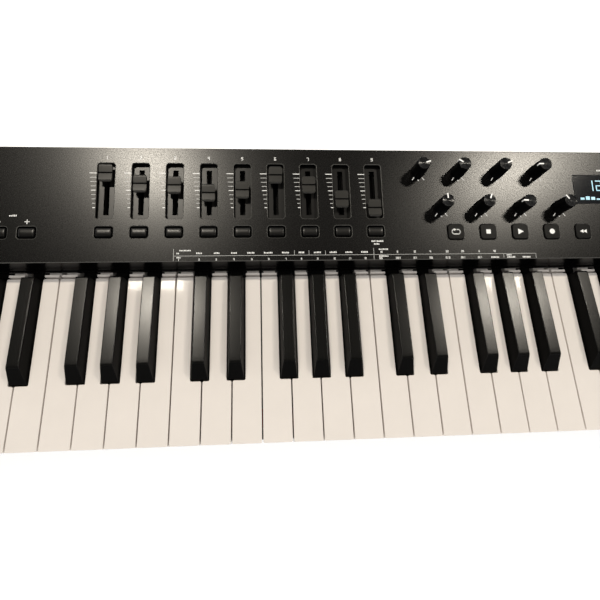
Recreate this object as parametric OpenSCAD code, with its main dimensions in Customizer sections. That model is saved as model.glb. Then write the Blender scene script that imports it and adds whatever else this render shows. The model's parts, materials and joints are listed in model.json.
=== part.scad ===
// 61-key MIDI controller keyboard: hinged keys on one pivot rod, nine faders, eight knobs,
// sixteen pads, two wheels and a sloping control panel over a moulded tray.
// +X runs to the treble end, +Y to the back, +Z up. The origin is under the middle, at table level.

/* [Keys] */
// Octaves of seven white and five black keys, with one more C at the top
octaves = 5; // [5:1:6]
// Width of one white key with its gap
white_pitch = 23.5; // [23:0.1:23.6]
// Gap between two white keys
key_gap = 1; // [0.8:0.1:1.2]
// Length of a white key in front of its rear step
white_len = 135; // [130:1:140]
// Depth of a white key's front, top to bottom
white_depth = 18; // [17:0.5:18]
// Height of a black key above the white ones
black_rise = 12; // [10:0.5:12]
// Height of the white keys' tops above the table
white_top = 52; // [52:1:56]

/* [Panel] */
// Slope of the control panel, in degrees
slope = 8; // [7:0.5:9]
// Height of the panel's front edge above the white keys
panel_rise = 22; // [20:1:24]
// Length of the panel up its slope
panel_len = 96.5; // [95:0.5:100]
// Thickness of the panel's moulding
wall = 3; // [2.5:0.1:3.2]

/* [Controls] */
// Distance between two faders
fader_pitch = 27.5; // [25:0.5:27.5]
// Travel of a fader
fader_travel = 30; // [24:1:30]
// Height of a knob above the panel
knob_h = 17; // [12:0.5:18]
// Distance between two knobs of a row
knob_pitch = 34.9; // [30:0.1:35]
// Side of a square pad
pad_w = 22; // [18:0.5:23]

/* [Case] */
// Width of the block with the pitch and modulation wheels
wheel_block = 98; // [92:1:110]
// Thickness of an end cheek
cheek = 12; // [10:1:14]
// Height of the rubber feet
foot_h = 4; // [3:0.5:5]

/* [Hidden] */
NOTES = ["c", "c_sharp", "d", "d_sharp", "e", "f", "f_sharp", "g", "g_sharp", "a", "a_sharp", "b"];
N_FADERS = 9;
N_KNOBS = 8;
$fn = 32;
e = 0.01;  // overlap that makes a cut run clean through

// overall places
octave_w = 7 * white_pitch;
keys_w = octaves * octave_w + white_pitch;
side_gap = 1.5;                                   // between the end keys and their neighbours
width = keys_w + wheel_block + 2 * side_gap + 2 * cheek;
inner_x = width / 2 - cheek;                      // inner face of a cheek
key_left = -inner_x + wheel_block + side_gap;
skirt_y = white_len + 5;                          // front face of the panel's skirt, from the key fronts
depth = skirt_y + panel_len * cos(slope) + 0.44;
front = -depth / 2;                               // key fronts
back = depth / 2;
panel_z = white_top + panel_rise;
rear_top = panel_z + panel_len * sin(slope);      // upper rear edge of the panel

// keys, in a frame at the left end of the key fronts, level with the white tops
dip_angle = 2.7;
key_wall = 1.8;
pivot_y = 212;
pivot_z = -11.5;
rod_r = 2.5;
running = 0.05;                                   // radial clearance of a bore on the rod
boss_r = 4.5;
tail_top = -7;
tail_low = -16;
black_front = 48.8;
black_back = white_len - 1.8;
black_drop = 2;                                   // the top sinks by this much towards the back
black_base_w = 13.3;
black_top_w = 9.2;
black_low = -14;
cut_half = 7.4;                                   // half the notch that a black key stands in
cut_front = 48;
black_mid = [21.8, 50.1, 92.0, 118.1, 144.7];     // middles of an octave's black keys
white_of = [0, -1, 1, -1, 2, 3, -1, 4, -1, 5, -1, 6];
black_of = [-1, 0, -1, 1, -1, -1, 2, -1, 3, -1, 4, -1];
cut_left = [-1, 0, 1, -1, 2, 3, 4];               // black key beside each white one, on its left
cut_right = [0, 1, -1, 2, 3, 4, -1];              // and on its right
plunger_y = 150;
plunger_low = -19.8;

// panel frame: x from the panel's middle, s up the slope from its front edge, h out of its face
first_c = key_left + octave_w;                    // left edge of the second C, where the columns start
fader_1_x = first_c - 53.4;
fader_mid_s = 59.6;
well_w = 14;
well_len = fader_travel + 17.8;
well_depth = 4;
well_floor = 1.4;
slot_w = 4.3;
slot_len = fader_travel + 9;
cap_w = 10.8;
cap_len = 15.2;
fader_at = [14.8, 5.6, 4.4, -2.2, 0.4, 13.6, 5.0, -7.4, -15];   // where each fader stands at rest
button_s = 24.55;
button_w = 13.1;
button_l = 8.8;
crown_r = 10.5;                                   // the caps stand 0.65 proud along the middle
button_hole = [button_w + 1.5, button_l + 1.3];
transport_x = first_c + 234.8;
transport_pitch = 28.2;
transport_s = 23.5;
transport_w = 13.7;
transport_l = 12.9;
knob_x = first_c + 205.9;
knob_row_s = [77.3, 45.0];
knob_row_shift = [0, 17.7];
knob_base_r = 6.1;
knob_top_r = 5.45;
knob_turn = [-73, 57, -68, 90, 2, -22, 88, 40];   // degrees that each knob stands round from straight up
shaft_r = 3;
encoder_x = first_c + 431;
encoder_s = 68;
display_x = first_c + 372;
display_s = 62;
display_w = 54;
display_l = 26;
pad_x = first_c + 462;
pad_pitch = 26.5;
pad_s = [29, 57];
pad_mid_s = (pad_s[0] + pad_s[1]) / 2;
pad_board_h = -6.2;                               // top face of the pads' board
octave_x = [first_c - 134, first_c - 112];
menu_at = [[first_c + 404, 24.5], [first_c + 428, 24.5], [first_c + 420, 44], [first_c + 442, 44]];
menu_w = 12;
menu_l = 7.5;
press = 1;                                        // travel of a button
board_h = -15;                                    // top face of the control board
board_t = 1.6;
board_s = [7, 90];
board_x = [first_c - 150, first_c + 449];
standoffs = [for (x = [-75, 45, 165, 285, 405]) [first_c + x, 11],
             for (x = [-39.6, 70.4, 180.4, 345, 410]) [first_c + x, 86.5]];

// case
floor_z = foot_h;
floor_t = 2.5;
tray_front = front + 3;
tray_lip = white_top - 30;
split_z = 40;                                     // where the panel's rear wall meets the tray's
deck_z = white_top + 10;
deck_x = [-inner_x, key_left - side_gap];
wheel_r = 26;
wheel_w = 10;
wheel_y = front + 80;
wheel_z = deck_z - 12;
wheel_x = [deck_x[0] + 31, deck_x[0] + 69];
axle_r = 3;
chassis_x = [key_left + 0.4, key_left + keys_w - 0.4];
chassis_z = floor_z + 5;
chassis_t = 2;
screw_xs = [for (i = [0:5]) key_left + 30 + i * (keys_w - 60) / 5];
screw_ys = [front + 44, front + 190];
socket_z = white_top + 4;
jack_x = [-250, -276, -302];
jack_r = 3.25;
midi_r = 6.8;
dc_r = 2.85;
midi_x = -338;
usb_x = -372;
dc_x = -396;
rocker_x = -426;
tab_x = [-440, -180, 0, 180, 320, 440];
slot_at = [430, socket_z];                        // security slot in the rear wall

// ---------- shapes used in many places ----------

module rrect(w, l, r) {
    square([w - 2 * r, l], center = true);
    square([w, l - 2 * r], center = true);
    for (x = [-1, 1], y = [-1, 1]) translate([x * (w / 2 - r), y * (l / 2 - r)]) circle(r);
}

// a plate of the given outline between two heights
module slab(z0, z1) translate([0, 0, z0]) linear_extrude(z1 - z0) children();

// a profile drawn in the Y-Z plane, extruded between two x values
module along_x(x0, x1) translate([x0, 0, 0]) rotate([90, 0, 90]) linear_extrude(x1 - x0) children();

module box(x, y, z) translate([x[0], y[0], z[0]]) cube([x[1] - x[0], y[1] - y[0], z[1] - z[0]]);

module on_panel() translate([0, front + skirt_y, panel_z]) rotate([slope, 0, 0]) children();

module in_keys() translate([key_left, front, white_top]) children();

// a rod along x, centred on x
module rod_x(x0, x1, r) translate([x0, 0, 0]) rotate([0, 90, 0]) cylinder(h = x1 - x0, r = r);

module rod_y(y0, y1, r) translate([0, y0, 0]) rotate([-90, 0, 0]) cylinder(h = y1 - y0, r = r);

// ---------- keys ----------

// x of both sides of a white key's rear part, in its octave
function rear_left(w, top) =
    cut_left[w] < 0 || top ? w * white_pitch + key_gap / 2 : black_mid[cut_left[w]] + cut_half;
function rear_right(w, top) =
    cut_right[w] < 0 || top ? (w + 1) * white_pitch - key_gap / 2 : black_mid[cut_right[w]] - cut_half;
function tail_mid(w) = (rear_left(w, false) + rear_right(w, false)) / 2;

module white_outline(w, top, inset) {
    x0 = w * white_pitch + key_gap / 2 + inset;
    x1 = (w + 1) * white_pitch - key_gap / 2 - inset;
    polygon([[x0, inset], [x1, inset], [x1, cut_front - inset],
             [rear_right(w, top) - inset, cut_front - inset], [rear_right(w, top) - inset, white_len - inset],
             [rear_left(w, top) + inset, white_len - inset], [rear_left(w, top) + inset, cut_front - inset],
             [x0, cut_front - inset]]);
}

// the part of every key that runs back to the pivot rod, with the plunger over its contact
module key_tail(mid, w, from) {
    difference() {
        union() {
            box([mid - w / 2, mid + w / 2], [from, pivot_y], [tail_low, tail_top]);
            translate([0, pivot_y, pivot_z]) rod_x(mid - w / 2, mid + w / 2, boss_r);
        }
        box([mid - w / 2 + key_wall, mid + w / 2 - key_wall], [white_len + 4, pivot_y - 9],
            [tail_low - e, tail_top - 2.5]);
        translate([0, pivot_y, pivot_z]) rod_x(mid - w, mid + w, rod_r + running);
    }
    box([mid - 2, mid + 2], [plunger_y - 2, plunger_y + 2], [plunger_low, tail_top - 2]);
}

module white_key(w, top = false) {
    difference() {
        slab(-white_depth, 0) white_outline(w, top, 0);
        slab(-white_depth - e, -2.5) white_outline(w, top, key_wall);
    }
    box([rear_left(w, top) + 0.5, rear_right(w, top) - 0.5], [white_len + 1.8, white_len + 3.6],
        [tail_low, -1]);
    key_tail(tail_mid(w), 10, white_len - 1);
}

module black_key(b) {
    mid = black_mid[b];
    difference() {
        intersection() {
            translate([mid, black_back, 0]) rotate([90, 0, 0]) linear_extrude(black_back - black_front)
                polygon([[-black_base_w / 2, black_low], [black_base_w / 2, black_low], [black_base_w / 2, 0],
                         [black_top_w / 2, black_rise], [-black_top_w / 2, black_rise],
                         [-black_base_w / 2, 0]]);
            along_x(mid - black_base_w, mid + black_base_w)
                polygon([[black_front, black_low], [black_back, black_low],
                         [black_back, black_rise - black_drop], [black_front + 11.6, black_rise],
                         [black_front, 0.6]]);
        }
        box([mid - 4, mid + 4], [black_front + 6, black_back - 2.5], [black_low - e, black_rise - 5]);
    }
    key_tail(mid, 9, black_back - 1);
}

// every key of one note, which share a node because each octave repeats it
module note_keys(n) {
    in_keys() {
        for (o = [0:octaves - 1]) translate([o * octave_w, 0, 0])
            if (white_of[n] >= 0) white_key(white_of[n]);
            else black_key(black_of[n]);
        if (n == 0) translate([octaves * octave_w, 0, 0]) white_key(0, true);
    }
}

function key_mids() = concat(
    [for (o = [0:octaves - 1], w = [0:6]) o * octave_w + tail_mid(w)],
    [for (o = [0:octaves - 1], m = black_mid) o * octave_w + m],
    [octaves * octave_w + tail_mid(0)]);

rib_xs = concat([0.5], [for (o = [0:octaves - 1], x = [70.8, 165]) o * octave_w + x],
                [octaves * octave_w + 15.5]);

module chassis_rib(x)
    along_x(x - 0.9, x + 0.9) difference() {
        polygon([[pivot_y - 10, -white_top + chassis_z], [pivot_y + 14, -white_top + chassis_z],
                 [pivot_y + 6, pivot_z + 6], [pivot_y - 6, pivot_z + 6]]);
        translate([pivot_y, pivot_z]) circle(rod_r + running);
    }

module key_chassis() {
    z0 = chassis_z - white_top;
    z1 = z0 + chassis_t;
    color("dimgray") in_keys() difference() {
        union() {
            box([0.4, keys_w - 0.4], [12, 230], [z0, z1]);
            // front and rear rails
            box([0.4, keys_w - 0.4], [12, 28], [z0, -31]);
            box([0.4, keys_w - 0.4], [220, 230], [z0, -28]);
            // guide posts of the white keys
            for (i = [0:octaves * 7])
                box([i * white_pitch + 8.7, i * white_pitch + 14.7], [16, 21], [z0, -14]);
            // rests and guide posts of the black keys
            for (o = [0:octaves - 1], m = black_mid) translate([o * octave_w + m, 0, 0]) {
                box([-4.5, 4.5], [64, 78], [z0, -24.5]);
                box([-2.5, 2.5], [73, 78], [z0, -6]);
            }
            // posts under the contact board
            for (x = [60 : 120 : keys_w], y = [124, 166])
                translate([x, y, z0]) cylinder(h = 26 - chassis_z - 2, r = 3.5);
            for (x = rib_xs) chassis_rib(x);
        }
        for (x = screw_xs, y = screw_ys) translate([x - key_left, y - front, z0 - e])
            cylinder(h = chassis_t + 2 * e, r = 1.55);
    }
}

module key_pivot_rod()
    color("silver") in_keys() translate([0, pivot_y, pivot_z]) rod_x(-0.6, keys_w + 0.6, rod_r);

module key_felts() color("firebrick") in_keys() {
    difference() {
        box([0.6, keys_w - 0.6], [12.4, 27.6], [-31, -28.3]);
        for (i = [0:octaves * 7])
            box([i * white_pitch + 8.2, i * white_pitch + 15.2], [15.5, 21.5], [-31 - e, -28]);
    }
    for (o = [0:octaves - 1], m = black_mid) translate([o * octave_w + m, 0, 0])
        box([-4, 4], [64.5, 72.5], [-24.5, -22]);
}

// one leaf spring, which rises from the rear rail to the underside of a key's tail
module leaf_spring(mid)
    along_x(mid - 2.5, mid + 2.5)
        polygon([[229.5, -28], [222, -28], [201, -17.5], [201, -16.9], [222.2, -27.4], [229.5, -27.4]]);

module key_springs() color("lightsteelblue") in_keys() for (m = key_mids()) leaf_spring(m);

module contact_board() color("darkgreen") in_keys()
    box([2, keys_w - 2], [120, 170], [24 - white_top, 25.6 - white_top]);

module contact_dome() cylinder(h = 2, r1 = 3.4, r2 = 2.4, $fn = 24);

// rubber strips with one dome under each key's plunger, an octave long
module contact_strips() color("darkslategray") in_keys() {
    z = 25.6 - white_top;
    for (o = [0:octaves - 1]) translate([o * octave_w, 0, z]) {
        box([3, octave_w - 3], [143, 157], [0, 0.8]);
        for (w = [0:6]) translate([tail_mid(w), plunger_y, 0.8]) contact_dome();
        for (m = black_mid) translate([m, plunger_y, 0.8]) contact_dome();
    }
    translate([octaves * octave_w, 0, z]) {
        box([3, white_pitch - 3], [143, 157], [0, 0.8]);
        translate([tail_mid(0), plunger_y, 0.8]) contact_dome();
    }
}

// ---------- case ----------

module base_tray() {
    z1 = floor_z + floor_t;
    color("#202022") difference() {
        union() {
            box([-inner_x, inner_x], [tray_front, back], [floor_z, z1]);
            box([-inner_x, inner_x], [tray_front, tray_front + 2.5], [floor_z, tray_lip]);
            box([-inner_x, inner_x], [back - 2.5, back], [floor_z, split_z]);
            for (x = [-inner_x, inner_x - side_gap])
                box([x, x + side_gap], [tray_front, back], [floor_z, tray_lip]);
            for (x = screw_xs, y = screw_ys) translate([x, y, floor_z]) cylinder(h = 5, r = 6);
        }
        for (x = screw_xs, y = screw_ys) translate([x, y, floor_z]) {
            translate([0, 0, -e]) cylinder(h = 6, r = 1.7);
            translate([0, 0, -e]) cylinder(h = 2.1 + e, r = 3.4);
        }
        for (x = tab_x) translate([x, 0, split_z - 4]) {
            rod_y(back - 3, back + e, 1.7);
            rod_y(back - 1.4, back + e, 3.3);
        }
    }
}

// plan of everything that is cut through the panel's face, in the panel frame
module panel_holes() {
    for (i = [0:N_FADERS - 1]) {
        translate([fader_1_x + i * fader_pitch, fader_mid_s]) rrect(well_w, well_len, 2.4);
        translate([fader_1_x + i * fader_pitch, button_s]) rrect(button_hole[0], button_hole[1], 2.3);
    }
    for (i = [0:5]) translate([transport_x + i * transport_pitch, transport_s])
        rrect(transport_w + 0.8, transport_l + 0.8, 3);
    for (x = octave_x) translate([x, button_s]) rrect(button_hole[0], button_hole[1], 2.3);
    for (p = menu_at) translate(p) rrect(menu_w + 0.8, menu_l + 0.8, 2);
    for (i = [0:N_KNOBS - 1]) translate(knob_place(i)) circle(4.2);
    translate([encoder_x, encoder_s]) circle(4.2);
    translate([display_x, display_s]) rrect(display_w + 0.4, display_l + 0.4, 1.6);
    for (i = [0:7], s = pad_s) translate([pad_x + i * pad_pitch, s])
        rrect(pad_w + 0.8, pad_w + 0.8, 2.6);
}

function knob_place(i) =
    [knob_x + knob_row_shift[floor(i / 4)] + (i % 4) * knob_pitch, knob_row_s[floor(i / 4)]];

module fader_well() {
    slab(-well_depth - well_floor, 0.2 - wall) difference() {
        rrect(well_w + 2.4, well_len + 2.4, 3.4);
        rrect(well_w, well_len, 2.4);
    }
    slab(-well_depth - well_floor, -well_depth) difference() {
        rrect(well_w + 2.4, well_len + 2.4, 3.4);
        square([slot_w, slot_len], center = true);
    }
}

module rear_wall_holes() {
    for (x = jack_x) translate([x, 0, socket_z]) rod_y(back - 4, back + 1, 5.3);
    translate([midi_x, 0, socket_z]) rod_y(back - 4, back + 1, 9.3);
    translate([dc_x, 0, socket_z]) rod_y(back - 4, back + 1, 4.4);
    box([usb_x - 6.2, usb_x + 6.2], [back - 4, back + 1], [socket_z - 5.7, socket_z + 5.7]);
    box([rocker_x - 10, rocker_x + 10], [back - 4, back + 1], [socket_z - 6.8, socket_z + 6.8]);
    box([slot_at[0] - 3.5, slot_at[0] + 3.5], [back - 4, back + 1], [slot_at[1] - 1.5, slot_at[1] + 1.5]);
}

module top_panel() {
    skirt = front + skirt_y;
    color("#242426") difference() {
        union() {
            on_panel() slab(-wall, 0) difference() {
                translate([-inner_x, 0]) square([2 * inner_x, panel_len]);
                panel_holes();
            }
            on_panel() for (i = [0:N_FADERS - 1])
                translate([fader_1_x + i * fader_pitch, fader_mid_s, 0]) fader_well();
            box([-inner_x, inner_x], [skirt, skirt + 2.6], [white_top + 1.5, panel_z - 0.5]);
            along_x(-inner_x, inner_x)
                polygon([[skirt, white_top + 1.5], [skirt, panel_z], [skirt + 5, panel_z + 5 * tan(slope)],
                         [skirt + 2.6, panel_z - 3]]);
            box([-inner_x, inner_x], [skirt - 0.8, skirt + e], [white_top + 1.5, white_top + 3.7]);
            along_x(-inner_x, inner_x)
                polygon([[back, split_z], [back, rear_top - 0.6], [back - 0.5, rear_top],
                         [back - 2.5, rear_top - 2], [back - 2.5, split_z]]);
            for (x = tab_x) box([x - 6, x + 6], [back - 7, back - 2.7], [split_z - 8, split_z + 6]);
            for (x = tab_x) box([x - 6, x + 6], [back - 7, back - 1], [split_z, split_z + 6]);
            on_panel() for (p = standoffs) translate(p) slab(board_h, 0.2 - wall) circle(3);
            on_panel() for (i = [0, 3.5, 7], s = [-30, 30])
                translate([pad_x + i * pad_pitch, pad_mid_s + s]) slab(pad_board_h, 0.2 - wall) circle(2);
        }
        rear_wall_holes();
        for (x = tab_x) translate([x, 0, split_z - 4]) rod_y(back - 8, back - 2, 1.55);
    }
}

// the side view of an end cheek, with small rounds on its corners
module cheek_outline() {
    offset(r = 3, $fn = 32) offset(delta = -3)
        polygon([[front + 1.5, floor_z], [front + 1.5, white_top + 3], [front + 9, white_top + 9.5],
                 [front + skirt_y - 14, white_top + 12.5], [front + skirt_y + 1, panel_z + 2.5],
                 [back - 4, rear_top + 2.6], [back, rear_top - 2], [back, floor_z]]);
}

module left_cheek() color("#1b1b1d") along_x(-width / 2, -inner_x) cheek_outline();
module right_cheek() color("#1b1b1d") along_x(inner_x, width / 2) cheek_outline();

// the raised deck beside the lowest key, with a slot for each wheel
module wheel_deck() {
    color("#242426") difference() {
        box([deck_x[0], deck_x[1]], [tray_front, front + skirt_y - 1.2], [tray_lip, deck_z]);
        box([deck_x[0] - e, deck_x[1] - 2.5], [tray_front + 2.5, front + skirt_y],
            [tray_lip - e, deck_z - 2.5]);
        for (x = wheel_x) translate([x, wheel_y]) slab(deck_z - 5, deck_z + e) rrect(wheel_w + 2, 50, 3);
    }
}

module wheel_bracket() {
    z0 = floor_z + floor_t;
    color("gray") {
        box([wheel_x[0] - 16, wheel_x[1] + 16], [wheel_y - 25, wheel_y + 25], [z0, z0 + 2.5]);
        for (x = [wheel_x[0] - 12, (wheel_x[0] + wheel_x[1]) / 2, wheel_x[1] + 12])
            box([x - 1.5, x + 1.5], [wheel_y - 9, wheel_y + 9], [z0, wheel_z + 6]);
        translate([0, wheel_y, wheel_z]) rod_x(wheel_x[0] - 14, wheel_x[1] + 14, axle_r);
    }
}

// a wheel on the bracket's axle, with a finger notch cut in its rim at the given angle
module wheel(i, notch) {
    translate([wheel_x[i], wheel_y, wheel_z]) difference() {
        rod_x(-wheel_w / 2, wheel_w / 2, wheel_r);
        rod_x(-wheel_w, wheel_w, axle_r + running);
        for (s = [-1, 1]) translate([s * (wheel_w / 2), 0, 0]) difference() {
            rod_x(-1.6, 1.6, wheel_r - 4);
            rod_x(-2, 2, axle_r + 4);
        }
        rotate([notch, 0, 0]) translate([0, 0, wheel_r + 5.2]) rod_x(-wheel_w, wheel_w, 7.6);
    }
}

module rubber_feet() color("#101010")
    for (x = [-inner_x + 40, 0, inner_x - 40], y = [front + 22, back - 22])
        translate([x, y, 0]) cylinder(h = foot_h, r = 9);

module case_screws() color("silver") {
    for (x = screw_xs, y = screw_ys) translate([x, y, floor_z]) {
        translate([0, 0, 0.2]) cylinder(h = 1.8, r = 3);
        translate([0, 0, 1.9]) cylinder(h = chassis_z - floor_z + chassis_t - 0.9, r = 1.5);
    }
    for (x = tab_x) translate([x, 0, split_z - 4]) {
        rod_y(back - 1.4, back - 0.3, 2.9);
        rod_y(back - 9, back - 1.3, 1.5);
    }
}

// ---------- electronics ----------

module control_board() color("darkgreen") on_panel() slab(board_h - board_t, board_h) difference() {
    translate([board_x[0], board_s[0]]) square([board_x[1] - board_x[0], board_s[1] - board_s[0]]);
    for (p = standoffs) translate(p) circle(1.6);
}

module fader_pots() color("slategray") on_panel()
    for (i = [0:N_FADERS - 1]) translate([fader_1_x + i * fader_pitch, fader_mid_s, 0]) difference() {
        slab(board_h, board_h + 6.5) square([9, fader_travel + 16], center = true);
        slab(board_h + 3, board_h + 7) square([2.8, fader_travel + 7], center = true);
    }

module rotary_pot() difference() {
    union() {
        slab(board_h, board_h + 6.5) square([11, 11], center = true);
        slab(board_h + 6.4, -3.3) circle(4);
    }
    slab(board_h + 1.5, 0) circle(shaft_r + running);
}

module rotary_pots() color("slategray") on_panel() {
    for (i = [0:N_KNOBS - 1]) translate(knob_place(i)) rotary_pot();
    translate([encoder_x, encoder_s]) rotary_pot();
}

function button_places() = concat(
    [for (i = [0:N_FADERS - 1]) [fader_1_x + i * fader_pitch, button_s]],
    [for (i = [0:5]) [transport_x + i * transport_pitch, transport_s]],
    [for (x = octave_x) [x, button_s]], menu_at);

module button_switches() color("black") on_panel() for (p = button_places()) translate(p) {
    slab(board_h, board_h + 3.5) square([6, 6], center = true);
    slab(board_h + 3.4, board_h + 4.6) circle(1.7);
}

module display_lens() color("#080a0c") on_panel()
    translate([display_x, display_s]) slab(-1.35, -0.1) rrect(display_w, display_l, 1.4);

module display_module() color("darkslategray") on_panel() translate([display_x, display_s]) {
    slab(-6, -1.4) square([display_w - 3, display_l - 3], center = true);
    slab(board_h, -6 + e) square([display_w - 6, 12], center = true);
}

module pad_board() color("darkgreen") on_panel()
    translate([pad_x + 3.5 * pad_pitch, pad_mid_s]) slab(pad_board_h - board_t, pad_board_h)
        square([7 * pad_pitch + pad_w + 2, 66], center = true);

module jack_socket() difference() {
    union() {
        box([-7, 7], [back - 27, back - 3.1], [-7, 7]);
        rod_y(back - 3.2, back - 0.3, 5.1);
    }
    rod_y(back - 24, back, jack_r);
}

module midi_socket() difference() {
    union() {
        box([-10, 10], [back - 16, back - 3.1], [-10, 10]);
        rod_y(back - 3.2, back - 0.3, 9);
    }
    rod_y(back - 7, back, midi_r);
    for (a = [-90 : 45 : 90]) rotate([0, a, 0]) translate([0, 0, -4]) rod_y(back - 14, back, 0.8);
}

module usb_socket() difference() {
    box([-6, 6], [back - 16, back - 0.3], [-5.5, 5.5]);
    box([-4.3, 4.3], [back - 10, back], [-3.9, 3.9]);
}

module dc_socket() difference() {
    union() {
        box([-4.5, 4.5], [back - 14, back - 3.1], [-5.5, 5.5]);
        rod_y(back - 3.2, back - 0.3, 4.2);
    }
    rod_y(back - 11, back, dc_r);
}

module rocker_housing() difference() {
    box([-9.8, 9.8], [back - 18, back - 0.3], [-6.6, 6.6]);
    box([-8.6, 8.6], [back - 12, back], [-5.4, 5.4]);
    translate([0, back - 5, 0]) rod_x(-9.3, 9.3, 1.2 + running);
}

module rear_sockets() color("#303030") {
    for (x = jack_x) translate([x, 0, socket_z]) jack_socket();
    translate([midi_x, 0, socket_z]) midi_socket();
    translate([usb_x, 0, socket_z]) usb_socket();
    translate([dc_x, 0, socket_z]) dc_socket();
    translate([rocker_x, 0, socket_z]) rocker_housing();
}

// ---------- controls that move ----------

// cap with a groove across its middle, on the pot's lever
module fader(i) color("dimgray") on_panel()
    translate([fader_1_x + (i - 1) * fader_pitch, fader_mid_s + fader_at[i - 1], 0]) {
        intersection() {
            slab(-well_depth, 3) rrect(cap_w, cap_len, 1.9);
            along_x(-cap_w / 2, cap_w / 2)
                polygon([[-cap_len / 2, 0.5], [cap_len / 2, 0.5], [cap_len / 2, 1.7],
                         [cap_len / 2 - 0.9, 2.2], [0.6, 1.6], [0.6, 0.9], [-0.6, 0.9], [-0.6, 1.6],
                         [0.9 - cap_len / 2, 2.2], [-cap_len / 2, 1.7]]);
        }
        slab(-3.2, 0.6) rrect(cap_w - 3.4, cap_len - 5, 1.4);
        box([-0.9, 0.9], [-2.5, 2.5], [board_h + 3.6, -3]);
    }

// round knob on its pot's shaft, with a pointer rib that runs out over its top edge
module knob(i) color("#181818") on_panel() translate(knob_place(i - 1)) rotate([0, 0, knob_turn[i - 1]]) {
    rotate_extrude() polygon([[0, 0.8], [knob_base_r, 0.8], [knob_base_r, 2.4], [knob_top_r, knob_h - 0.8],
                              [knob_top_r - 0.6, knob_h], [0, knob_h]]);
    box([-0.35, 0.35], [1.4, knob_top_r + 0.35], [knob_h - 1.4, knob_h + 0.15]);
    slab(board_h + 2, 1) circle(shaft_r);
}

module data_encoder() color("#181818") on_panel() translate([encoder_x, encoder_s]) {
    difference() {
        rotate_extrude() polygon([[0, 0.8], [8.6, 0.8], [8.6, 11.6], [7.8, 12.6], [0, 12.2]]);
        for (a = [0 : 15 : 345]) rotate([0, 0, a]) translate([9.3, 0, 2]) cylinder(h = 14, r = 1.1);
    }
    slab(board_h + 2, 1) circle(shaft_r);
}

// a button's cap with its flange under the panel and its stem over the switch
module push_button(w, l, r, top) {
    slab(-3.7, top) rrect(w, l, r);
    slab(-4.7, -3.6) rrect(w + 2, l + 2, r + 0.8);
    slab(board_h + 5.9, -4.6) circle(2);
}

// crowned caps: the top of each is part of a cylinder that lies along x
module crowned_button() intersection() {
    push_button(button_w, button_l, 1.9, 2.2);
    translate([0, 0, 0.65 - crown_r]) rod_x(-10, 10, crown_r);
}

module fader_buttons() color("#3a3a3a") on_panel()
    for (i = [0:N_FADERS - 1]) translate([fader_1_x + i * fader_pitch, button_s]) crowned_button();

module transport_buttons() color("#161616") on_panel()
    for (i = [0:5]) translate([transport_x + i * transport_pitch, transport_s])
        push_button(transport_w, transport_l, 2.6, 1.1);

module octave_buttons() color("#3a3a3a") on_panel()
    for (x = octave_x) translate([x, button_s]) crowned_button();

module menu_buttons() color("#161616") on_panel()
    for (p = menu_at) translate(p) push_button(menu_w, menu_l, 1.6, 1.1);

module pads() color("#2b2b2b") on_panel() for (i = [0:7], s = pad_s) translate([pad_x + i * pad_pitch, s]) {
    slab(-4, 2) rrect(pad_w, pad_w, 2.2);
    slab(-5, -3.7) rrect(pad_w + 2.2, pad_w + 2.2, 2.8);
}

// rocker with two faces that meet at the height of its two pivot pins
module power_switch() color("black") translate([rocker_x, 0, socket_z]) {
    along_x(-8, 8) polygon([[back - 10.5, -2], [back - 4, -4.5], [back - 0.8, -4.5], [back - 2, 0],
                            [back - 0.2, 4.5], [back - 4, 4.5], [back - 10.5, 2]]);
    translate([0, back - 5, 0]) rod_x(-9.2, 9.2, 1.2);
}

base_tray();
top_panel();
left_cheek();
right_cheek();
wheel_deck();
key_chassis();
key_pivot_rod();
key_felts();
key_springs();
contact_board();
contact_strips();
control_board();
fader_pots();
rotary_pots();
button_switches();
display_lens();
display_module();
pad_board();
wheel_bracket();
rear_sockets();
rubber_feet();
case_screws();
for (n = [0:11]) color(white_of[n] < 0 ? "#161616" : "ivory") note_keys(n);
for (i = [1:N_FADERS]) fader(i);
for (i = [1:N_KNOBS]) knob(i);
data_encoder();
color("#2a2a2a") wheel(0, 0);  // pitch_wheel
color("#2a2a2a") wheel(1, 35);  // mod_wheel
power_switch();
fader_buttons();
transport_buttons();
octave_buttons();
menu_buttons();
pads();
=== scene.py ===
import json
import math
import random

import bmesh
import bpy
from mathutils import Euler, Matrix, Vector


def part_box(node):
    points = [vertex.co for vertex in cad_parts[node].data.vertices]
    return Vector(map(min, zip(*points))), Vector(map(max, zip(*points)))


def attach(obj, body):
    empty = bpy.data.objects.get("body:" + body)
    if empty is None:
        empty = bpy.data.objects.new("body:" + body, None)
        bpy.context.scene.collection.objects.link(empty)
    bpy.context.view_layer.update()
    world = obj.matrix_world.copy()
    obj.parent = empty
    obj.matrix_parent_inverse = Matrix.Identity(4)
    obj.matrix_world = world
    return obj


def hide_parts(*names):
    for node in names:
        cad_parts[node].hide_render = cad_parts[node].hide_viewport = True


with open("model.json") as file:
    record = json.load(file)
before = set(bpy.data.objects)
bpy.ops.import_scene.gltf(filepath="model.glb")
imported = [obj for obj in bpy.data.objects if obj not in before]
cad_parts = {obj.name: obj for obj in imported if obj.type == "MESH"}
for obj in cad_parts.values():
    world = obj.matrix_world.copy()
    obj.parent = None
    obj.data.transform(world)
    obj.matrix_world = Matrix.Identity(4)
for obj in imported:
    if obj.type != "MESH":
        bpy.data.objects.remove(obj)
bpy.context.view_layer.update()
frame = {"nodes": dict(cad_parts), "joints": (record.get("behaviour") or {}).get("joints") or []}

MM = 0.001
scene = bpy.context.scene
joints = {j["name"]: j for j in frame["joints"]}

# ---------- places, all from the CAD model ----------

OCTAVES = 5
OCTAVE = 164.5                                  # width of an octave in mm
HALF_GAP = 0.5
SKIRT_Y, PANEL_RISE = 140, 22                   # the panel's front edge, from the keys

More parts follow.
